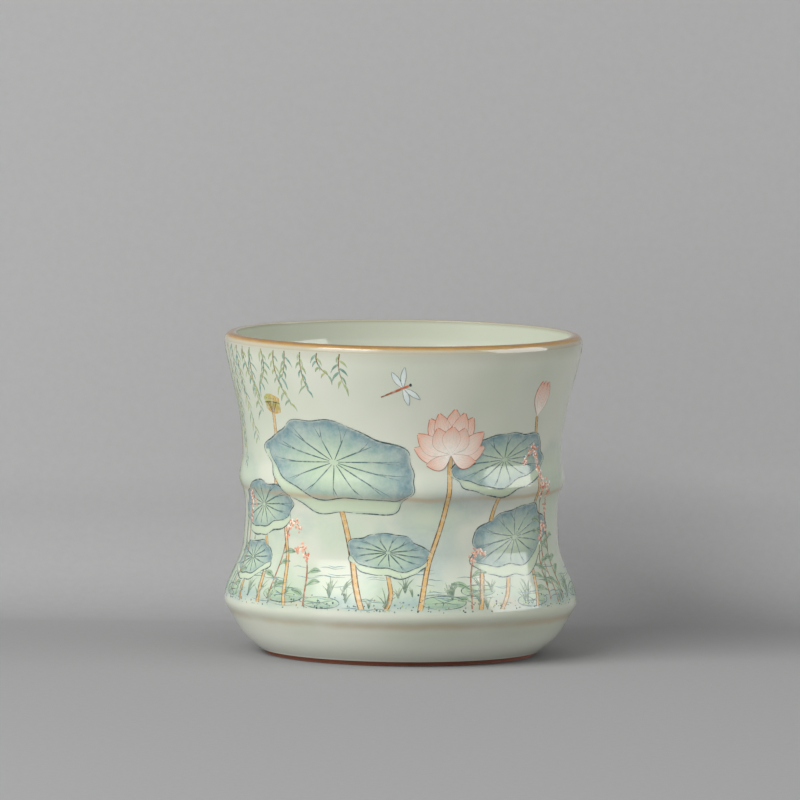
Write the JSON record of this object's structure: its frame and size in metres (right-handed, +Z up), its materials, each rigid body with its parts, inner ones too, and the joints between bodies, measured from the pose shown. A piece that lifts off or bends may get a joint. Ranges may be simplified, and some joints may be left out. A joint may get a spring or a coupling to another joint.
{
  "type": "teacup",
  "caption": "Handleless porcelain teacup with a bamboo-joint waist, a flared brown-edged lip, celadon glaze inside and out, and a bare clay foot ring.",
  "frame": {"origin": "centre of the foot ring's tread, on the surface that the cup stands on", "axes": "+Z up along the cup's axis of turning, from the foot to the mouth; -Y faces the viewer of the picture and +X is to the viewer's right"},
  "size_m": [0.078, 0.078, 0.07],
  "materials": {
    "biscuit_porcelain": "matte",
    "foot_clay": "matte",
    "celadon_glaze": "gloss",
    "lip_glaze": "gloss",
    "overglaze_enamel": "gloss"
  },
  "bodies": {
    "root": {"porcelain_body": "biscuit_porcelain", "foot_ring": "foot_clay", "outer_glaze": "celadon_glaze", "inner_glaze": "celadon_glaze", "base_glaze": "celadon_glaze", "lip_band": "lip_glaze"}
  },
  "joints": []
}
